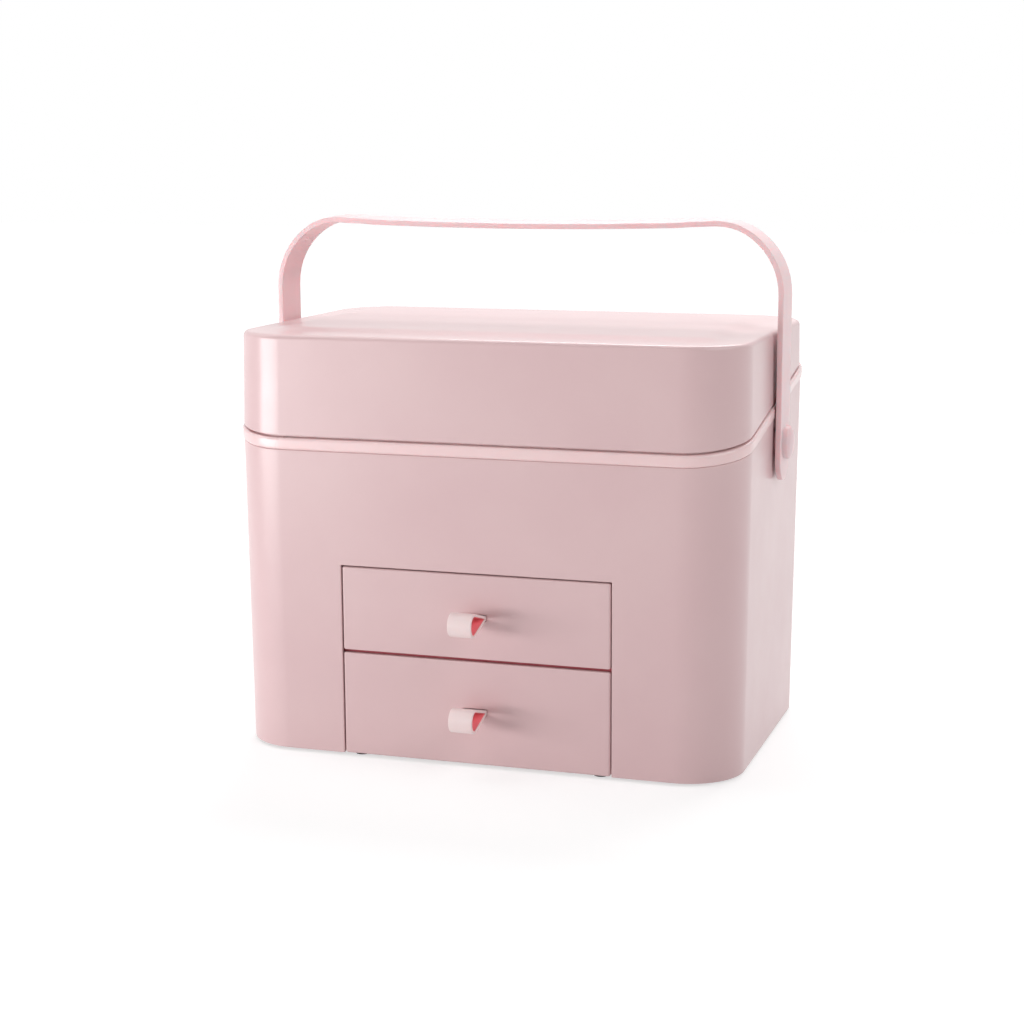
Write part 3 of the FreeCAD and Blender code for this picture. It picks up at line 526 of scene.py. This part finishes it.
# the bar is crowned for the palm: towards its edges it drops, less so where it turns into the legs
CROWN = ((1, 1.7), (0.75, 0.95), (0.5, 0.42), (0.25, 0.1))  # share of the half width, fall in mm
FADE = ((0, 90, 1), (90, 104, 0.8), (104, 109, 0.6), (109, 114, 0.35), (114, 119, 0.15))
for out, fall in CROWN:
    for start, end, share in FADE:
        pick(strap, "VERT", lambda at, way: abs(abs(at.y - MIDDLE) - out * STRAP_WIDE / 2) < 1e-4
             and start * MM <= abs(at.x) < end * MM and at.z > STANDS + bend_z)
        bpy.ops.transform.translate(value=(0, 0, -fall * share * MM))
bpy.ops.mesh.select_all(action="SELECT")
bpy.ops.mesh.normals_make_consistent(inside=False)
done()
apply(strap, "SOLIDIFY", thickness=STRAP_THICK, offset=0, use_even_offset=True)
apply(
    strap, "BEVEL", width=0.55 * MM, segments=3, limit_method="ANGLE",
    angle_limit=math.radians(60), use_clamp_overlap=False,
)
smooth(strap)
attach(strap, "handle")
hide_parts("handle_strap")
# Tough polypropylene, moulded smooth: a soft, slightly waxy gloss, and a little light gets into its
# edges.
handle_pp = plastic("handle_pp_smooth", "#F5D8DA", "#F2D2D5", 0.42, 0.7, 7, inside=0.5)
finish(strap, handle_pp)


# ---- The pivots
# At each end of the handle a domed button of the same pink hides the shaft that the strap turns on.
# A flanged bush lines the hole in the case's wall, and a retainer is pressed on the shaft inside.

BUTTON_RADIUS, BUTTON_EDGE = 9 * MM, 2.2 * MM
DOME = ((0.5, 0.6), (0.9, 0.65), (1.4, 0.5), (2, 0.3), (2.2, 0.15))  # steps in and out, in mm
SHAFT_RADIUS, SHAFT_END = 4 * MM, 133.4 * MM


def button(name, side):
    """A disc whose rim is rounded over into a low dome, and its shaft."""
    foot = LEG + STRAP_THICK / 2
    piece = rod(
        name, (side * foot, 0, PIVOT), (side * (foot + BUTTON_EDGE), 0, PIVOT), BUTTON_RADIUS,
        sides=64,
    )
    edit(piece)
    pick(piece, "FACE", lambda at, normal: normal.x * side > 0.99)
    for inwards, outwards in DOME:
        bpy.ops.mesh.inset(thickness=inwards * MM, depth=outwards * MM)
    done()
    smooth(piece, 60)
    shaft = rod("shaft", (side * SHAFT_END, 0, PIVOT), (side * foot, 0, PIVOT), SHAFT_RADIUS)
    smooth(shaft)
    return join(piece, [shaft])


for side, word in ((-1, "left"), (1, "right")):
    cap = button(f"pivot_cap_{word}", side)
    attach(cap, "handle")
    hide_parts(f"pivot_button_{word}")
    finish(cap, handle_pp)


# ---- The drawer fronts
# Two flat panels that fill the opening, flush with the leaning front of the body, with a fine gap
# all round. Each has a narrow slot for its pull.

PANEL_SIDE, PANEL_BACK = OPENING_SIDE - 0.6 * MM, -91.7 * MM
SLOT_SIDE, SLOT_HALF = 6.55 * MM, 1.55 * MM


def drawer_front(name, low, high, pull):
    """A panel whose face leans with the body's wall, slotted at the height of its pull."""
    piece = block(name, (-PANEL_SIDE, -DEEP / 2, low), (PANEL_SIDE, PANEL_BACK, high))
    edit(piece)
    for height in (low, high):
        pick(piece, "VERT", lambda at, way: at.y < MIDDLE - 94 * MM
             and abs(at.z - STANDS - height) < 1e-5)
        bpy.ops.transform.translate(value=(0, DRAFT * (1 - height / SEAM), 0))
    done()
    cut_out(piece, block(
        "slot", (-SLOT_SIDE, -120 * MM, pull - SLOT_HALF), (SLOT_SIDE, -80 * MM, pull + SLOT_HALF)
    ))
    soften(piece, 1.2 * MM, steps=4)
    return piece


# each front's foot, top and pull height
DRAWERS = {
    "upper": (57.7 * MM, OPENING_TOP - 0.6 * MM, 80 * MM),
    "lower": (0.2 * MM, 56.2 * MM, 29 * MM),
}
for word, (low, high, pull) in DRAWERS.items():
    panel = drawer_front(f"{word}_panel", low, high, pull)
    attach(panel, f"{word}_drawer")
    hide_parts(f"{word}_drawer_front")
    finish(panel, shell_abs)


# ---- The drawer pulls
# A 13 mm strip of soft silicone rubber folded into a loop. Both its ends go through the slot
# together and are pinched by a clip inside the tray, so the loop springs out as a teardrop.

PULL_WIDE, PULL_THICK, PULL_ROUND = 13 * MM, 1.5 * MM, 6.3 * MM
PULL_OUT = 24 * MM  # how far the loop stands out of the panel
CLIP_FRONT, CLIP_BACK = -87.7 * MM, -80 * MM  # the clip pinches the strip's two ends between these


def pull_loop(name, pull):
    """One strip laid from the clip through the slot, round the teardrop and back."""
    face = -DEEP / 2 + DRAFT * (1 - pull / SEAM)
    round_r = PULL_ROUND - PULL_THICK / 2
    round_y = face - PULL_OUT + PULL_ROUND
    reach = face - round_y
    tip = math.asin(round_r / reach)
    straight = math.sqrt(reach**2 - round_r**2)
    nip = 0.2 * MM  # the two layers close up by this much on their way to the panel's face
    out = straight * math.cos(tip)
    rise = straight * math.sin(tip) - PULL_THICK / 2 + nip
    piece = block(
        name, (-PULL_WIDE / 2, CLIP_FRONT, pull - PULL_THICK),
        (PULL_WIDE / 2, CLIP_BACK, pull + PULL_THICK / 2),
    )
    edit(piece)
    pick(piece, "FACE", lambda at, normal: normal.z < 0.9)
    bpy.ops.mesh.delete(type="FACE")
    pick(piece, "EDGE", lambda at, way: abs(way.x) > 0.9 and at.y < MIDDLE - 87 * MM)
    for step in ((0, face - CLIP_FRONT, -nip), (0, -out, rise)):
        bpy.ops.mesh.extrude_region_move(TRANSFORM_OT_translate={"value": step})
    bpy.ops.mesh.spin(
        steps=22, angle=-(math.pi + 2 * tip), center=(0, MIDDLE + round_y, STANDS + pull),
        axis=(1, 0, 0),
    )
    for step in ((0, out, rise), (0, CLIP_FRONT - face, -nip), (0, CLIP_BACK - CLIP_FRONT, 0)):
        bpy.ops.mesh.extrude_region_move(TRANSFORM_OT_translate={"value": step})
    bpy.ops.mesh.select_all(action="SELECT")
    bpy.ops.mesh.normals_make_consistent(inside=False)
    done()
    apply(piece, "SOLIDIFY", thickness=PULL_THICK, offset=0, use_even_offset=True)
    apply(
        piece, "BEVEL", width=0.5 * MM, segments=3, limit_method="ANGLE",
        angle_limit=math.radians(60), use_clamp_overlap=False,
    )
    smooth(piece, 50)
    fold = Vector((0, MIDDLE + round_y, STANDS + pull))
    edit(piece)
    # painted shade: the faces inside the fold take the second, deeper pink material
    pick(piece, "FACE", lambda at, normal: at.y < MIDDLE + face and abs(normal.x) < 0.2
         and (at.y - fold.y) * normal.y + (at.z - fold.z) * normal.z < 0)
    finish(piece, pull_rubber, pull_fold_painted_shade)
    piece.active_material_index = 1
    bpy.ops.object.material_slot_assign()
    done()
    return piece


# Moulded smooth and slightly tacky: a matte face with a soft sheen at its edges. Inside the fold
# the faces get a deeper pink: painted shade, standing in for the redder light that comes through
# the strip and goes from wall to wall.
pull_rubber = plastic(
    "pull_silicone_matte", "#F8E5E4", "#F4DEDD", 0.45, 0.4, 3, sheen=0.1, inside=0.1
)
pull_fold_painted_shade = plastic("pull_silicone_fold_painted_shade", "#FA939B", "#F58A92", 0.5, 0.4, 3)
for word, (*_, pull) in DRAWERS.items():
    loop = pull_loop(f"{word}_pull", pull)
    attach(loop, f"{word}_drawer")
    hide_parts(f"{word}_pull_loop")


# ---- The parts inside
# The drawer trays, their clips, the shelf, deck and walls of the drawer bay, the base plate and the
# handle's bushes are thin mouldings of plain pink ABS, and keep their shape from the frame. Their
# moulds aren't polished, so the eye gets a duller pink with hardly any shine.

inner_abs = plastic("inner_abs_matte", "#DDB2B4", "#D8ABAE", 0.55, 0.45, 5)
for node in (
    "base_plate", "bay_deck", "bay_wall_left", "bay_wall_right", "pivot_bush_left",
    "pivot_bush_right", "upper_drawer_tray", "lower_drawer_tray", "upper_pull_clip",
    "lower_pull_clip",
):
    finish(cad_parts[node], inner_abs)
# The shelf between the drawers is coloured a deeper rose as painted shade: it stands in for the
# shade in the gap between the drawers, and is seen only as the dark red line there.
shelf_painted_shade = plastic("shelf_rose_painted_shade", "#B4535C", "#AC4C55", 0.55, 0.45, 5)
finish(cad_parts["drawer_shelf"], shelf_painted_shade)


# ---- The feet
# Four small discs of black rubber stuck under the base plate, their lower rims rounded. They look
# dull and nearly black, with a fine matt grain.

x, y = 67 * MM, 86.5 * MM
foot = rod("foot", (-x, -y, -STANDS), (-x, -y, 1 * MM), 4 * MM, sides=40)
soften(foot, 0.5 * MM)
feet = join(foot, other_corners(foot, x, y))
feet.name = feet.data.name = "stick_on_feet"
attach(feet, "case")
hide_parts("rubber_feet")
foot_rubber = plastic("foot_rubber_black", "#2A2424", "#231E1E", 0.7, 0.4, 2)
finish(feet, foot_rubber)


# ---- The studio
# A white floor in a white room. The key is a soft box at the left that stands on the floor and
# ends near the lid's top, so that the top hardly mirrors it. A weak one in front and a broad, high
# one at the right fill, and two hang above, one of them behind the case.

bpy.ops.object.select_all(action="DESELECT")
bpy.ops.mesh.primitive_plane_add(size=1, location=(0, 0, 0))
floor = bpy.context.object
floor.name = "floor"
floor.scale = (12, 12, 1)
bpy.ops.object.transform_apply(location=True, rotation=True, scale=True)


def seen_ray(tree):
    """1 for a ray from the eye, straight or by way of a mirror or glass, and 0 for one that gathers
    light."""
    ray = add(tree, "ShaderNodeLightPath").outputs
    direct = add(tree, "ShaderNodeMath", {
        0: ray["Is Camera Ray"], 1: ray["Is Glossy Ray"],
    }, operation="MAXIMUM")
    return add(tree, "ShaderNodeMath", {
        0: direct.outputs[0], 1: ray["Is Transmission Ray"],
    }, operation="MAXIMUM").outputs[0]


# White paper: matt, and lifted to white where it is seen, more so towards the horizon, so that only
# the object's shadow shows on it.
floor_paper = bpy.data.materials.new("floor_paper_white")
floor_paper.use_nodes = True
tree = floor_paper.node_tree
tree.nodes.clear()
paper = add(tree, "ShaderNodeBsdfDiffuse", {"Color": colour("#BCBCBC")})
away = add(tree, "ShaderNodeVectorMath", {
    0: add(tree, "ShaderNodeTexCoord").outputs["Object"],
}, operation="LENGTH")
lift = add(tree, "ShaderNodeMapRange", {
    "Value": away.outputs["Value"], "From Min": 0.4, "From Max": 2.2, "To Min": 0.62, "To Max": 1.0,
})
glow = add(tree, "ShaderNodeEmission", {"Color": (1, 1, 1, 1), "Strength": lift.outputs["Result"]})
seen = add(tree, "ShaderNodeAddShader", {0: paper.outputs[0], 1: glow.outputs[0]})
lit = add(tree, "ShaderNodeBsdfDiffuse", {"Color": colour("#F2F2F2")})
either = add(tree, "ShaderNodeMixShader", {
    "Fac": seen_ray(tree), 1: lit.outputs[0], 2: seen.outputs[0],
})
add(tree, "ShaderNodeOutputMaterial", {"Surface": either.outputs[0]})
finish(floor, floor_paper)

room = bpy.data.worlds.new("room")
bpy.context.scene.world = room
room.use_nodes = True
tree = room.node_tree
tree.nodes.clear()
dim = add(tree, "ShaderNodeBackground", {"Color": (1, 1, 1, 1), "Strength": 0.14})
white = add(tree, "ShaderNodeBackground", {"Color": (1, 1, 1, 1), "Strength": 1.0})
either = add(tree, "ShaderNodeMixShader", {
    "Fac": seen_ray(tree), 1: dim.outputs[0], 2: white.outputs[0],
})
add(tree, "ShaderNodeOutputWorld", {"Surface": either.outputs[0]})


def soft_box(name, place, size, power):
    """A rectangular lamp that points at the case."""
    bpy.ops.object.light_add(type="AREA", location=place)
    light = bpy.context.object
    light.name = name
    light.data.shape = "RECTANGLE"
    light.data.size, light.data.size_y = size
    light.data.energy = power
    aim = Vector((0, 0, 0.12)) - Vector(place)
    light.rotation_euler = aim.to_track_quat("-Z", "Y").to_euler()


soft_box("left_box", (-0.83, -0.79, 0.12), (0.75, 0.22), 6.1)
soft_box("front_box", (-0.3, -1.5, 0.7), (0.8, 1.1), 1.2)
soft_box("right_box", (1.24, -0.42, 1.15), (1.4, 1), 10.2)
soft_box("rear_box", (0, 0.95, 1.4), (1.2, 0.8), 16.6)
soft_box("top_box", (-0.9, 0, 1.5), (0.8, 1.2), 8)

# The eye: a long lens in front of the case, a little to its right and above it.
eye = bpy.data.cameras.new("eye")
eye.lens, eye.sensor_width = 72.95, 36
camera = bpy.data.objects.new("eye", eye)
bpy.context.scene.collection.objects.link(camera)
camera.location = (0.344316, -1.085991, 0.329479)
turn = Euler((math.radians(90 - 10.292), 0, math.radians(17.931))).to_matrix()
camera.rotation_euler = (turn @ Matrix.Rotation(math.radians(-0.156), 3, "Z")).to_euler()
bpy.context.scene.camera = camera
bpy.context.scene.view_settings.view_transform = "Standard"
